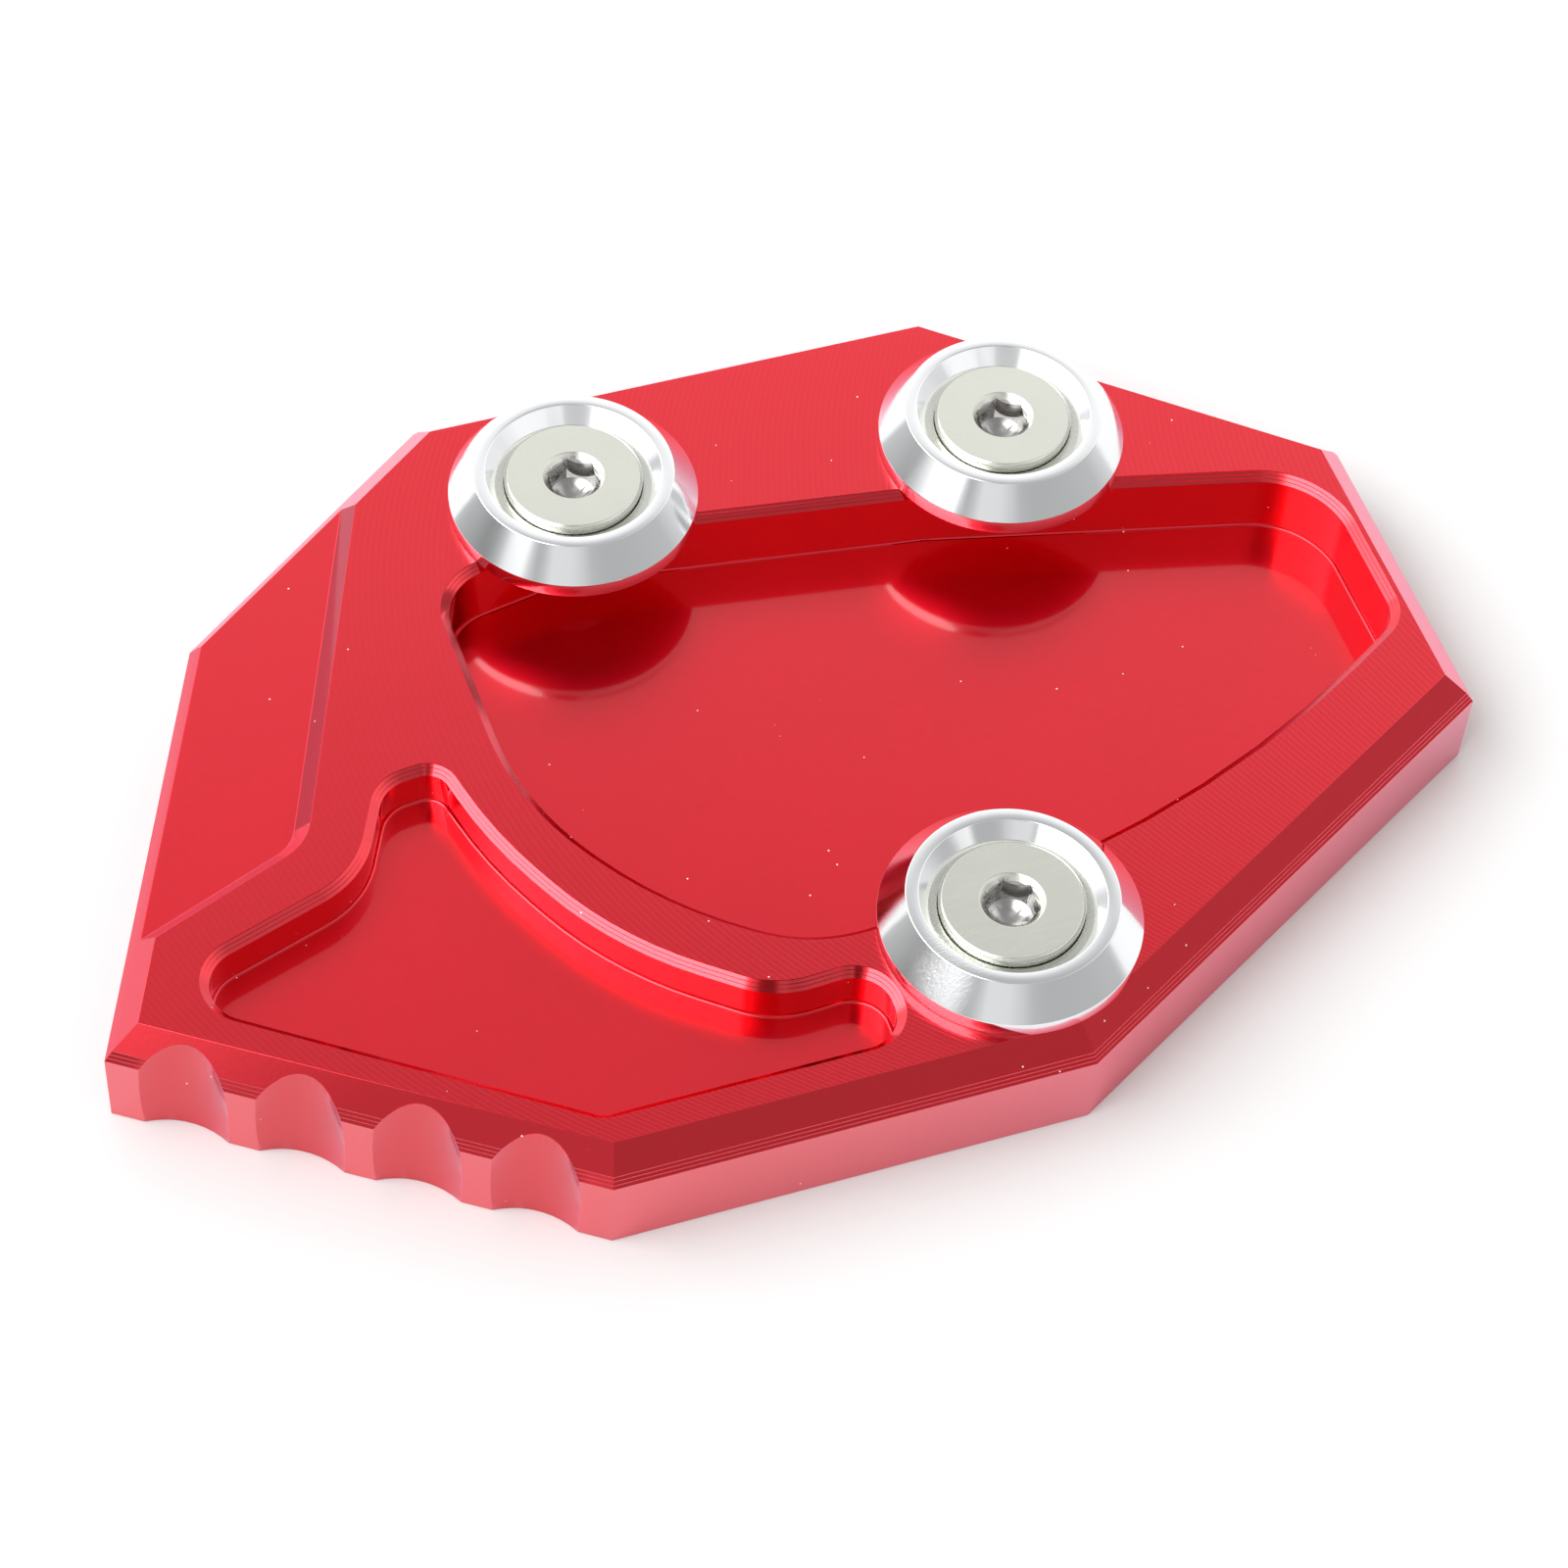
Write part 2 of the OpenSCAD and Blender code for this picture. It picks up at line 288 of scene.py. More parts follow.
def pick(kind, test):
    """Select only those faces or edges of the edited mesh that pass the test."""
    obj = bpy.context.edit_object
    bpy.ops.mesh.select_mode(type="FACE" if kind == "faces" else "EDGE")
    bpy.ops.mesh.select_all(action="DESELECT")
    mesh = bmesh.from_edit_mesh(obj.data)
    for part in getattr(mesh, kind):
        if test(part):
            part.select_set(True)
    bmesh.update_edit_mesh(obj.data)


def facing(face, up, height):
    """True for a face that looks up or down and lies at a height."""
    level = all(abs(vertex.co.z - height) < SAME for vertex in face.verts)
    return level and face.normal.z * up > LEVEL


def upright(face, lean=UPRIGHT):
    """True for a face that stands upright, give or take a lean."""
    return abs(face.normal.z) < lean


def draw_out(rise, old, new):
    """Extrude the selected face by rise and bring it from its old radius to a new one."""
    bpy.ops.mesh.extrude_region_move(TRANSFORM_OT_translate={"value": (0, 0, rise)})
    bpy.ops.transform.resize(value=(new / old, new / old, 1), center_override=(0, 0, 0))


def merge_points():
    """Merge points of the edited mesh that share one place."""
    bpy.ops.mesh.select_mode(type="VERT")
    bpy.ops.mesh.select_all(action="SELECT")
    bpy.ops.mesh.remove_doubles(threshold=SAME / 10)


def round_off(obj, degrees, width, segments):
    """Round those edges of obj where faces meet at more than some degrees."""
    edit(obj)
    limit = math.radians(degrees)
    pick("edges", lambda edge: len(edge.link_faces) == 2 and edge.calc_face_angle(0) > limit)
    bpy.ops.mesh.bevel(offset=width, segments=segments, affect="EDGES", clamp_overlap=True)
    done()


def apply_all(obj):
    """Apply every modifier of obj."""
    select_alone(obj)
    for modifier in list(obj.modifiers):
        bpy.ops.object.modifier_apply(modifier=modifier.name)


def smooth(obj, degrees, stays_flat=lambda face: False):
    """Smooth shading, but sharp at steep edges and around the faces that stay flat."""
    select_alone(obj)
    bpy.ops.object.shade_smooth()
    edit(obj)
    limit = math.radians(degrees)
    pick("edges", lambda edge: (
        edge.calc_face_angle(0) > limit or any(stays_flat(face) for face in edge.link_faces)))
    bpy.ops.mesh.mark_sharp()
    done()
    flats = obj.modifiers.new("keep_flats", "WEIGHTED_NORMAL")
    flats.keep_sharp = True
    flats.weight = 80
    apply_all(obj)


def hand_over(obj, replaced):
    """Tie a finished piece to the frame in place of a CAD node."""
    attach(obj, "root")
    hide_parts(replaced)


def new_material(name):
    """A material with an empty node tree, its shader and its output."""
    material = bpy.data.materials.new(name)
    material.use_nodes = True
    tree = material.node_tree
    tree.nodes.clear()
    shader = tree.nodes.new("ShaderNodeBsdfPrincipled")
    output = tree.nodes.new("ShaderNodeOutputMaterial")
    tree.links.new(shader.outputs["BSDF"], output.inputs["Surface"])
    return material, tree, shader


def node(tree, kind, **values):
    """Add a node; values are sockets by name, or settings of the node."""
    made = tree.nodes.new(kind)
    for key, value in values.items():
        if hasattr(made, key):
            setattr(made, key, value)
        else:
            put(tree, made.inputs[key], value)
    return made


def put(tree, socket, value):
    """Set a socket to a value, or link it to another node's socket."""
    if isinstance(value, bpy.types.NodeSocket):
        tree.links.new(value, socket)
    else:
        socket.default_value = value


def sums(tree, operation, *terms):
    """A Math node on up to three terms, as its output socket."""
    made = tree.nodes.new("ShaderNodeMath")
    made.operation = operation
    for socket, term in zip(made.inputs, terms):
        put(tree, socket, term)
    return made.outputs[0]


def mixed(tree, first, share, second, other_share):
    """Sum of two values, each times its share."""
    return sums(tree, "ADD", sums(tree, "MULTIPLY", first, share),
                sums(tree, "MULTIPLY", second, other_share))


def object_place(tree):
    """Object coordinates."""
    return tree.nodes.new("ShaderNodeTexCoord").outputs["Object"]


def split(tree, vector):
    """The parts X, Y and Z of a vector, by name."""
    return node(tree, "ShaderNodeSeparateXYZ", Vector=vector).outputs


def stretched(tree, place, scale):
    """Coordinates scaled on each axis by a Mapping node."""
    mapping = node(tree, "ShaderNodeMapping", Vector=place)
    mapping.inputs["Scale"].default_value = scale
    return mapping.outputs["Vector"]


def noise(tree, place, scale, detail=2.0, rough=0.5):
    """Noise texture as a grey value, with its scale in cells per metre of the place."""
    made = node(tree, "ShaderNodeTexNoise", Vector=place, Scale=scale, Detail=detail,
                Roughness=rough)
    return made.outputs["Fac"]


def between(tree, value, low, high):
    """Bring a value of 0 to 1 between low and high; a value past that stays at the end."""
    made = tree.nodes.new("ShaderNodeMapRange")
    put(tree, made.inputs["Value"], value)
    made.inputs["To Min"].default_value = low
    made.inputs["To Max"].default_value = high
    return made.outputs["Result"]


def tinted(tree, value, dark, light):
    """Mix two colours by a value of 0 to 1."""
    made = tree.nodes.new("ShaderNodeMix")
    made.data_type = "RGBA"
    put(tree, made.inputs["Factor"], value)
    put(tree, made.inputs[6], dark)
    put(tree, made.inputs[7], light)
    return made.outputs[2]


def raised(tree, height, depth):
    """Bump from a height of 0 to 1, depth in metres."""
    made = node(tree, "ShaderNodeBump", Height=height, Strength=1.0, Distance=depth)
    return made.outputs["Normal"]


def ramp(tree, value, stops):
    """A value through straight lines between stops, each a place of 0 to 1 and a level."""
    most = max(level for _, level in stops)
    made = node(tree, "ShaderNodeValToRGB", Fac=value)
    elements = made.color_ramp.elements
    elements[0].position = stops[0][0]
    elements[1].position = stops[-1][0]
    for place, _ in stops[1:-1]:
        elements.new(place)
    for element, (_, level) in zip(elements, stops):
        element.color = (level / most, level / most, level / most, 1)
    return sums(tree, "MULTIPLY", made.outputs["Color"], most)


def around(stops):
    """Stops by azimuth from -180 to 180 degrees, as stops from 0 to 1."""
    return [((azimuth + 180) / 360, level) for azimuth, level in stops]


def step(tree, value, start, end):
    """Goes smoothly from 0 to 1 as a value goes from start to end."""
    made = node(tree, "ShaderNodeMapRange", Value=value, interpolation_type="SMOOTHSTEP")
    made.inputs["From Min"].default_value = start
    made.inputs["From Max"].default_value = end
    return made.outputs["Result"]


def blend(tree, share, low, high):
    """Mix two levels by a share of 0 to 1."""
    made = node(tree, "ShaderNodeMix", Factor=share)
    put(tree, made.inputs["A"], low)
    put(tree, made.inputs["B"], high)
    return made.outputs["Result"]


def closeness(tree, direction, aim):
    """Cosine of the angle between a direction and an azimuth and height in degrees."""
    azimuth, height = (math.radians(angle) for angle in aim)
    flat = math.cos(height)
    made = node(tree, "ShaderNodeVectorMath", operation="DOT_PRODUCT")
    put(tree, made.inputs[0], direction)
    made.inputs[1].default_value = (
        flat * math.cos(azimuth), flat * math.sin(azimuth), math.sin(height))
    return made.outputs["Value"]


def spread(reach):
    """Cosines of an outer and an inner angle in degrees."""
    return tuple(math.cos(math.radians(angle)) for angle in reach)


def shade(colour, factor):
    """A colour made lighter or darker."""
    return (*(min(1.0, channel * factor) for channel in colour), 1)


def dust(tree, place):
    """Rare white specks, 1 where a speck lies and 0 elsewhere."""
    cells = node(tree, "ShaderNodeTexVoronoi", Vector=place, Scale=SPECK_CELLS)
    chance = split(tree, cells.outputs["Color"])["X"]
    near = step(tree, cells.outputs["Distance"], *SPECK_REACH)
    return sums(tree, "MULTIPLY", near, sums(tree, "GREATER_THAN", chance, CLEAN_SHARE))


def mill_arcs(tree, place):
    """Grooves that a wide face mill left while it went along X, with flat strips between."""
    sizes = bpy.context.scene.foot_enlarger_sizes
    parts = split(tree, place)
    across = sums(tree, "SUBTRACT", parts["Y"], MILL_MIDDLE)
    square = sums(tree, "MULTIPLY", across, across)
    bulge = sums(tree, "SQRT", sums(tree, "SUBTRACT", sizes.mill_radius ** 2, square))
    wander = sums(tree, "MULTIPLY", noise(tree, place, 120.0), MILL_WANDER)
    along = sums(tree, "ADD", sums(tree, "ADD", parts["X"], bulge), wander)
    wave = sums(tree, "SINE", sums(tree, "MULTIPLY", along, 2 * math.pi / sizes.mill_feed))
    return between(tree, sums(tree, "ADD", wave, 1.0), 0.0, 0.5)


def arc_marks(tree, place, cloud):
    """Tone, height and bump of the face milled top."""
    arcs = mill_arcs(tree, place)
    grain = noise(tree, place, 2600.0)
    return mixed(tree, arcs, 0.7, cloud, 0.3), mixed(tree, arcs, 1.0, grain, 0.4), ARC_BUMP


def grain_marks(tree, place, cloud):
    """Tone, height and bump of the milled floors and the shelf."""
    mottle = noise(tree, place, 900.0, 3.0)
    grain = noise(tree, place, 2600.0)
    height = mixed(tree, mottle, 1.0, grain, 0.5)
    return mixed(tree, mottle, 0.5, cloud, 0.5), height, GRAIN_BUMP


def side_marks(tree, place, cloud):
    """Tone, height and bump of what the side of a cutter left: upright streaks."""
    streaks = noise(tree, stretched(tree, place, (3200.0, 3200.0, 40.0)), 1.0)
    return mixed(tree, streaks, 0.5, cloud, 0.5), streaks, STREAK_BUMP


def ridge_marks(tree, place, cloud):
    """Tone, height and bump of the ridges under the long bevel: fine level lines."""
    turns = sums(tree, "MULTIPLY", split(tree, place)["Z"], 2 * math.pi / RIDGE_LINES)
    return cloud, between(tree, sums(tree, "SINE", turns), 0.5, 1.0), RIDGE_BUMP


def anodised(name, marks, roughness, coat, painted_shade_factor):
    """Dyed anodised aluminium with the marks of one cutter, under a clear sealed layer, darkened
    by a factor that paints shade.
    """
    dye = tuple(bpy.context.scene.foot_enlarger_colours.anodised)
    material, tree, shader = new_material(name)
    place = object_place(tree)
    cloud = noise(tree, place, 60.0, 3.0)
    tone, height, bump = marks(tree, place, cloud)
    specks = dust(tree, place)
    # The dye's colour times the painted shade factor: below 1 this paints shade into the surface
    dyed = tinted(tree, tone, shade(dye, 0.93 * painted_shade_factor), shade(dye, 1.06 * painted_shade_factor))
    rough = between(tree, cloud, roughness * 0.88, roughness * 1.12)
    put(tree, shader.inputs["Base Color"], tinted(tree, specks, dyed, SPECK))
    put(tree, shader.inputs["Metallic"], sums(tree, "SUBTRACT", 1.0, specks))
    put(tree, shader.inputs["Roughness"], rough)
    put(tree, shader.inputs["Normal"], raised(tree, height, bump))
    shader.inputs["Specular Tint"].default_value = EDGE_TINT
    shader.inputs["Coat Weight"].default_value = 1.0
    shader.inputs["Coat IOR"].default_value = coat
    shader.inputs["Coat Roughness"].default_value = 0.08
    return material


# Finish of each kind of cut: marks, roughness, refraction of the clear layer, and a painted shade
# factor on the dye's colour (under 1 where shade is painted)
FINISHES = {
    "arcs": (arc_marks, 0.22, 1.5, 1.0),
    "grain": (grain_marks, 0.33, 1.5, 1.0),
    "side": (side_marks, 0.15, 1.62, 1.0),
    "ridges": (ridge_marks, 0.15, 1.5, 1.0),
    # Painted shade: the scallops' colour is darkened to stand in for the shade in their hollows
    "scallop": (side_marks, 0.2, 1.8, 0.86),
    "wall": (side_marks, 0.18, 2.2, 1.0),
    "slope": (side_marks, 0.11, 1.5, 1.0),
    # Painted shade: the shelf's step is darkened because it looks darker in this light; its dye
    # is the same as elsewhere
    "step": (side_marks, 0.2, 1.42, 0.62),
}


def polished():
    """Turned and polished aluminium: fine rings, faint streaks and a scuffed place in front."""
    colour = tuple(bpy.context.scene.foot_enlarger_colours.polished)
    material, tree, shader = new_material("polished_aluminium")
    place = object_place(tree)
    turning = node(tree, "ShaderNodeAttribute", attribute_name="turning").outputs["Vector"]
    cloud = noise(tree, place, 140.0, 3.0)
    rings = noise(tree, stretched(tree, turning, (1.5, 1.5, 16000.0)), 1.0, 3.0, 0.6)
    streaks = noise(tree, stretched(tree, turning, (9.0, 9.0, 300.0)), 1.0, 3.0, 0.6)
    nicks = noise(tree, stretched(tree, place, (1500.0, 5200.0, 2600.0)), 1.0, 4.0, 0.7)
    gap = node(tree, "ShaderNodeVectorMath", operation="DISTANCE")
    put(tree, gap.inputs[0], place)
    gap.inputs[1].default_value = SCUFFED
    scuffed = step(tree, gap.outputs["Value"], *SCUFFED_REACH)
    rough = mixed(tree, between(tree, streaks, 0.03, 0.16), 1.0, scuffed, 0.1)
    turned = mixed(tree, rings, 0.5, streaks, 0.5)
    height = mixed(tree, turned, 1.0, sums(tree, "MULTIPLY", nicks, scuffed), 14.0)
    tone = tinted(tree, cloud, shade(colour, 0.95), shade(colour, 1.03))
    put(tree, shader.inputs["Base Color"], tone)
    put(tree, shader.inputs["Roughness"], rough)
    put(tree, shader.inputs["Normal"], raised(tree, height, TURNING_BUMP))
    shader.inputs["Metallic"].default_value = 1.0
    return material


def screw_finish(name, colour, roughness):
    """Plated steel with a fine brushed grain, or in a darker grey the painted shade inside the
    sockets.
    """
    material, tree, shader = new_material(name)
    place = object_place(tree)
    cloud = noise(tree, place, 220.0, 3.0)
    brush = noise(tree, stretched(tree, place, (400.0, 2400.0, 400.0)), 1.0, 3.0)
    tone = tinted(tree, cloud, shade(colour, 0.96), shade(colour, 1.03))
    put(tree, shader.inputs["Base Color"], tone)
    put(tree, shader.inputs["Roughness"], between(tree, brush, roughness * 0.8, roughness * 1.25))
    put(tree, shader.inputs["Normal"], raised(tree, brush, BRUSH_BUMP))
    shader.inputs["Metallic"].default_value = 1.0
    return material


def merged_copy(node_name, name, joins=lambda face: True):
    """A copy of a node's mesh under its own name; flat faces that pass the test are joined."""
    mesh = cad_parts[node_name].data.copy()
    mesh.materials.clear()
    mesh.name = name
    piece = bpy.data.objects.new(name, mesh)
    bpy.context.scene.collection.objects.link(piece)
    edit(piece)
    merge_points()
    pick("faces", joins)
    bpy.ops.mesh.dissolve_limited(angle_limit=math.radians(JOIN_UNDER))
    done()
    return piece


def foot_of(face, piece):
    """Height of a face's lowest point."""
    return min(piece.data.vertices[index].co.z for index in face.vertices)


def floor_under(piece, height):
    """Height of the next wide level face of a piece under a height."""
    return max(
        face.center.z for face in piece.data.polygons
        if face.normal.z > LEVEL and face.center.z < height and face.area > FLOOR_AREA)


class FOOTENLARGER_OT_plate(bpy.types.Operator):
    """Dress the milled plate: sloping lips, broken edges and a finish for each cut"""

    bl_idname = "foot_enlarger.plate"
    bl_label = "Milled plate"

    def execute(self, context):
        sizes = context.scene.foot_enlarger_sizes
        top = box_of("plate")[1].z
        plate = merged_copy("plate", "milled_plate", lambda face: not self.is_tread(face, top))
        self.slope_lips(plate, sizes, top)
        self.break_edges(plate, sizes, top)
        smooth(plate, CREASE, self.is_wide_flat)
        self.paint(plate, top)
        hand_over(plate, "plate")
        return {"FINISHED"}

    def is_wide_flat(self, face):
        """True for a slope or a level face that is wide enough to show its shading."""
        plain = SLOPE[0] < face.normal.z < SLOPE[1] or face.normal.z > FLAT
        return plain and face.calc_area() > FLAT_AREA

    def is_tread(self, face, top):
        """True for a level face of a lip, less deep than the shelf or a floor."""
        return face.normal.z > LEVEL and TREADS[0] < top - face.verts[0].co.z < TREADS[1]

    def slope_lips(self, plate, sizes, top):
        """Raise the inner corner of each step, so that the lip slopes with low ridges."""
        edit(plate)
        pick("faces", lambda face: self.is_tread(face, top))
        bpy.ops.mesh.beautify_fill(angle_limit=math.radians(TURN_UNDER))
        bpy.ops.mesh.tris_convert_to_quads()
        pick("edges", lambda edge: not edge.is_convex and self.is_corner(edge, top))
        bpy.ops.transform.translate(value=(0, 0, sizes.lip_fill))
        done()

    def is_corner(self, edge, top):
        """True for a level edge between a step's tread and the upright beside it."""
        if abs(edge.verts[0].co.z - edge.verts[1].co.z) > SAME / 2:
            return False
        treads = any(self.is_tread(face, top) for face in edge.link_faces)
        return treads and any(upright(face) for face in edge.link_faces)

    def is_low_step(self, edge):
        """True for an edge of a low upright."""
        for face in edge.link_faces:
            heights = [vertex.co.z for vertex in face.verts]
            if upright(face) and max(heights) - min(heights) < LOW_STEP:
                return True
        return False

    def break_edges(self, plate, sizes, top):
        """Round each sharp edge by the width that its place asks for."""
        floors = [floor_under(plate, top - depth) for depth in OVER_FLOORS]
        widths = {
            "floor": sizes.floor_round,
            "fine": sizes.fine_break,
            "plain": sizes.edge_break,
        }
        most = max(widths.values())
        edit(plate)
        mesh = bmesh.from_edit_mesh(plate.data)
        weights = mesh.edges.layers.float.new("bevel_weight_edge")
        for edge in mesh.edges:
            kind = self.kind_of(edge, top, floors)
            edge[weights] = widths[kind] / most if kind else 0.0
        bmesh.update_edit_mesh(plate.data)
        done()
        bevel = plate.modifiers.new("broken_edges", "BEVEL")
        bevel.limit_method = "WEIGHT"
        bevel.width = most
        bevel.segments = 3
        bevel.use_clamp_overlap = False
        bevel.miter_outer = "MITER_ARC"
        apply_all(plate)

    def kind_of(self, edge, top, floors):
        """What an edge is: a floor's edge, a fine ridge, plain, or None where it stays sharp."""
        if len(edge.link_faces) != 2 or edge.calc_face_angle(0) < math.radians(PLATE_BREAK):
            return None
        if min(face.calc_area() for face in edge.link_faces) < SLIVER_AREA:
            return None
        heights = [vertex.co.z for vertex in edge.verts]
        depth = top - heights[0]
        level = abs(heights[0] - heights[1]) < SAME / 2
        beside_upright = any(upright(face) for face in edge.link_faces)
        if level and depth < LIP_DEPTH and self.is_low_step(edge):
            return None
        if level and beside_upright and SAME * 2 < depth < LIP_DEPTH:
            return None
        if level and beside_upright and any(abs(heights[0] - floor) < SAME for floor in floors):
            return "floor"
        if any(RIDGES[0] < top - height < RIDGES[1] for height in heights):
            return "fine" if level else None
        if level and depth < SAME and not beside_upright:
            return "fine"
        return "plain"

    def paint(self, plate, top):
        """Give each kind of cut its own finish."""
        for kind, looks in FINISHES.items():
            plate.data.materials.append(anodised(f"anodised_{kind}", *looks))
        kinds = list(FINISHES)
        walls = self.outer_walls(plate)
        for face in plate.data.polygons:
            face.material_index = kinds.index(self.finish_of(face, plate, top, walls))

    def outer_walls(self, plate):
        """Planes of the walls that stand on the ground, as a normal and a distance."""
        return [
            (face.normal.copy(), face.normal.dot(face.center)) for face in plate.data.polygons
            if upright(face, PLUMB) and foot_of(face, plate) < WALL_FOOT
            and face.area > WALL_AREA]

    def finish_of(self, face, plate, top, walls):
        """Kind of cut that a face is, by its place and the way it looks."""
        depth = top - face.center.z
        if face.normal.z > NEARLY_LEVEL:
            return "arcs" if depth < TOP_REACH else "grain"
        slopes = SLOPE[0] < face.normal.z < SLOPE[1]
        if slopes and foot_of(face, plate) < top - SLOPE_FOOT:
            return "slope" if depth > BEVEL_MIDDLE else "step"
        inset = min(reach - normal.dot(face.center) for normal, reach in walls)
        if inset < SCALLOP_INSET and upright(face, LEANING):
            return "wall" if inset < WALL_INSET and depth > WALL_TOP else "scallop"
        return "ridges" if inset < RIDGE_INSET else "side"


class FOOTENLARGER_OT_washers(bpy.types.Operator):
    """Turn one cone washer and set a copy at each screw"""

    bl_idname = "foot_enlarger.washers"
    bl_label = "Cone washers"

    def execute(self, context):
        model = self.turn(context.scene.foot_enlarger_sizes)
        model.data.materials.append(polished())
        for spot in SPOTS:
            name = f"cone_washer_{spot}"
            mesh = model.data.copy()
            mesh.name = name
            mesh.transform(Matrix.Translation(centre_of(f"washer_{spot}")))
            washer = bpy.data.objects.new(name, mesh)
            context.scene.collection.objects.link(washer)
            hand_over(washer, f"washer_{spot}")
        bpy.data.meshes.remove(model.data)
        return {"FINISHED"}

    def turn(self, sizes):
        """Rim, cone, ring and countersink at the origin, drawn out of one disc."""
        bpy.ops.object.select_all(action="DESELECT")
        bpy.ops.mesh.primitive_cylinder_add(
            vertices=192, radius=WASHER_RADIUS, depth=RIM_HEIGHT, location=(0, 0, RIM_HEIGHT / 2))
        washer = bpy.context.object
        bpy.ops.object.transform_apply(location=True, rotation=True, scale=True)
        edit(washer)
        pick("faces", lambda face: facing(face, 1, RIM_HEIGHT))
        draw_out(WASHER_HEIGHT - RIM_HEIGHT, WASHER_RADIUS, RING_RADIUS)
        draw_out(0, RING_RADIUS, MOUTH_RADIUS)
        draw_out(BORE_HEIGHT - WASHER_HEIGHT, MOUTH_RADIUS, BORE_RADIUS)
        draw_out(-BORE_HEIGHT, BORE_RADIUS, BORE_RADIUS)
        bpy.ops.mesh.delete(type="ONLY_FACE")
        pick("faces", lambda face: facing(face, -1, 0))
        draw_out(0, WASHER_RADIUS, BORE_RADIUS)
        bpy.ops.mesh.delete(type="ONLY_FACE")
        merge_points()
        done()
        round_off(washer, WASHER_BREAK, sizes.washer_break, 3)
        smooth(washer, WASHER_CREASE)
        turning = washer.data.attributes.new("turning", "FLOAT_VECTOR", "POINT")
        for vertex, mark in zip(washer.data.vertices, turning.data):
            along = vertex.co.xy.length
            mark.vector = (vertex.co.x / along, vertex.co.y / along, along)
        return washer


class FOOTENLARGER_OT_screws(bpy.types.Operator):
    """Make the countersunk screws with their hexagon sockets"""

    bl_idname = "foot_enlarger.screws"
    bl_label = "Countersunk screws"

    def execute(self, context):
        sizes = context.scene.foot_enlarger_sizes
        colours = context.scene.foot_enlarger_colours
        finish = screw_finish("satin_nickel", tuple(colours.nickel), 0.26)
        # Painted shade: the faces inside the socket get a darker grey than the nickel, for the
        # shade in the recess
        socket_shaded_material = screw_finish("socket_steel", tuple(colours.socket), 0.2)
        for spot in SPOTS:
            screw = merged_copy(f"screw_{spot}", f"countersunk_screw_{spot}")
            round_off(screw, SCREW_BREAK, sizes.socket_break, 2)
            smooth(screw, CREASE)
            screw.data.materials.append(finish)
            screw.data.materials.append(socket_shaded_material)
            low, high = box_of(f"screw_{spot}")
            for face in screw.data.polygons:
                face.material_index = self.in_socket(face, low, high)
            hand_over(screw, f"screw_{spot}")
        return {"FINISHED"}

    def in_socket(self, face, low, high):
        """1 for a face inside the socket, otherwise 0."""
        reach = face.center - (low + high) / 2
        near = reach.xy.length < SOCKET_RADIUS
        inside = SOCKET_DEPTHS[0] < high.z - face.center.z < SOCKET_DEPTHS[1]
        return 1 if near and inside and face.normal.z > DOWNWARD else 0


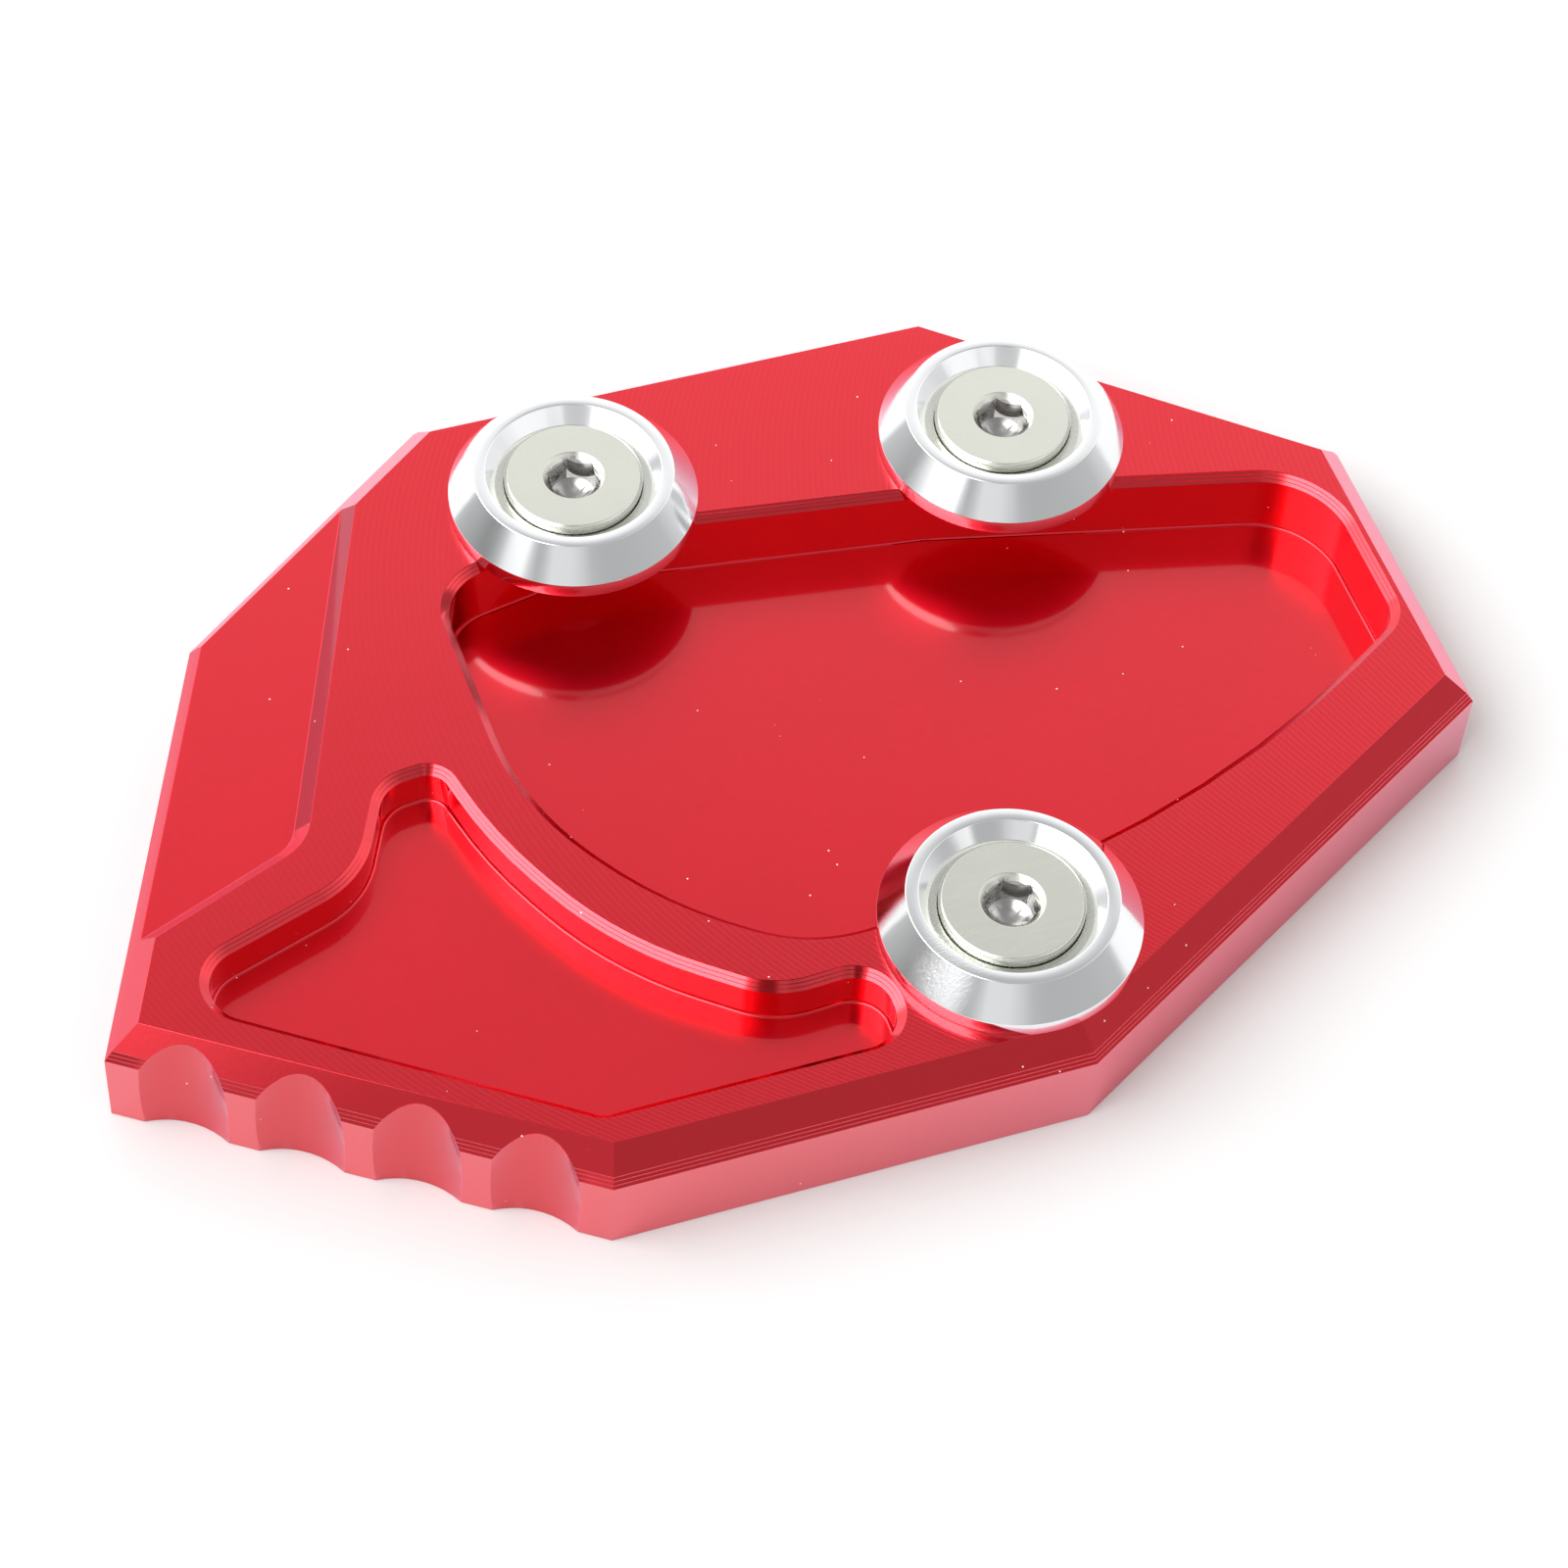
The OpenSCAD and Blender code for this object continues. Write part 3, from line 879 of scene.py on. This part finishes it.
class FOOTENLARGER_OT_studio(bpy.types.Operator):
    """Set the pale floor, the light tent and the camera"""

    bl_idname = "foot_enlarger.studio"
    bl_label = "Studio"

    def execute(self, context):
        self.floor()
        self.tent(context.scene)
        self.camera(context.scene)
        return {"FINISHED"}

    def floor(self):
        """A wide pale floor just under the plate."""
        bpy.ops.object.select_all(action="DESELECT")
        bpy.ops.mesh.primitive_plane_add(size=FLOOR_SIZE, location=(0, 0, -FLOOR_GAP))
        floor = bpy.context.object
        floor.name = "studio_floor"
        material, _, shader = new_material("pale_floor")
        shader.inputs["Base Color"].default_value = (FLOOR_SHADE, FLOOR_SHADE, FLOOR_SHADE, 1)
        shader.inputs["Roughness"].default_value = 0.6
        shader.inputs["Specular IOR Level"].default_value = 0.2
        floor.data.materials.append(material)

    def tent(self, scene):
        """Light tent with an opening for the lens and one large softbox over the front."""
        world = bpy.data.worlds.new("light_tent")
        scene.world = world
        world.use_nodes = True
        tree = world.node_tree
        tree.nodes.clear()
        direction = tree.nodes.new("ShaderNodeTexCoord").outputs["Generated"]
        parts = split(tree, direction)
        turn = sums(tree, "ARCTAN2", parts["Y"], parts["X"])
        azimuth = sums(tree, "ADD", sums(tree, "DIVIDE", turn, 2 * math.pi), 0.5)
        elevation = sums(tree, "DIVIDE", sums(tree, "ARCSINE", parts["Z"]), math.pi / 2)
        rim = ramp(tree, azimuth, around((place, height / 90) for place, height in TENT_RIM))
        room = ramp(tree, azimuth, around(ROOM_LEVELS))
        wall = ramp(tree, elevation, [(height / 90, level) for height, level in TENT_LEVELS])
        side = ramp(tree, azimuth, around(TENT_SIDES))
        over_rim = sums(tree, "SUBTRACT", elevation, rim)
        in_tent = step(tree, over_rim, *(rise / 90 for rise in RIM_FADE))
        front = step(tree, closeness(tree, direction, (SOFTBOX_SIDE, 0)), *spread(SOFTBOX_SPREAD))
        high = step(tree, over_rim, *(rise / 90 for rise in SOFTBOX_RISE))
        aim = closeness(tree, direction, LENS)
        lit = sums(tree, "MULTIPLY", wall, side)
        lit = blend(tree, sums(tree, "MULTIPLY", front, high), lit, SOFTBOX_LEVEL)
        lit = blend(tree, in_tent, room, lit)
        lit = blend(tree, step(tree, aim, *spread(COLLAR_REACH)), lit, COLLAR_LEVEL)
        lit = blend(tree, step(tree, aim, *spread(LENS_REACH)), lit, LENS_LEVEL)
        light = node(tree, "ShaderNodeBackground", Color=(1, 1, 1, 1), Strength=lit)
        output = tree.nodes.new("ShaderNodeOutputWorld")
        tree.links.new(light.outputs[0], output.inputs["Surface"])

    def camera(self, scene):
        """The photograph's viewpoint: from the front left, looking down on the plate."""
        lens = bpy.data.cameras.new("photo_camera")
        lens.sensor_width = SENSOR_WIDTH
        lens.lens = FOCAL_LENGTH
        lens.clip_start = 0.01
        lens.clip_end = 20
        eye = bpy.data.objects.new("photo_camera", lens)
        eye.location = EYE
        eye.rotation_euler = [math.radians(angle) for angle in EYE_TURN]
        scene.collection.objects.link(eye)
        scene.camera = eye
        scene.view_settings.view_transform = "Standard"


class FOOTENLARGER_PT_panel(bpy.types.Panel):
    """Lists the making of the foot enlarger in the 3D view's sidebar"""

    bl_idname = "FOOTENLARGER_PT_panel"
    bl_label = "Foot enlarger"
    bl_space_type = "VIEW_3D"
    bl_region_type = "UI"
    bl_category = "Foot enlarger"

    def draw(self, context):
        layout = self.layout
        for name in ("edge_break", "fine_break", "lip_fill", "floor_round", "washer_break",
                     "socket_break", "mill_feed", "mill_radius"):
            layout.prop(context.scene.foot_enlarger_sizes, name)
        for name in ("anodised", "polished", "nickel", "socket"):
            layout.prop(context.scene.foot_enlarger_colours, name)
        for operator in STEPS:
            layout.operator(operator.bl_idname)


STEPS = (
    FOOTENLARGER_OT_plate,
    FOOTENLARGER_OT_washers,
    FOOTENLARGER_OT_screws,
    FOOTENLARGER_OT_studio,
)
CLASSES = (FootEnlargerSizes, FootEnlargerColours, *STEPS, FOOTENLARGER_PT_panel)


def register():
    for cls in CLASSES:
        bpy.utils.register_class(cls)
    bpy.types.Scene.foot_enlarger_sizes = bpy.props.PointerProperty(type=FootEnlargerSizes)
    bpy.types.Scene.foot_enlarger_colours = bpy.props.PointerProperty(type=FootEnlargerColours)


def unregister():
    del bpy.types.Scene.foot_enlarger_colours
    del bpy.types.Scene.foot_enlarger_sizes
    for cls in reversed(CLASSES):
        bpy.utils.unregister_class(cls)


def main():
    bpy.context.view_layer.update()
    register()
    bpy.ops.foot_enlarger.plate()
    bpy.ops.foot_enlarger.washers()
    bpy.ops.foot_enlarger.screws()
    bpy.ops.foot_enlarger.studio()


if __name__ == "__main__":
    main()
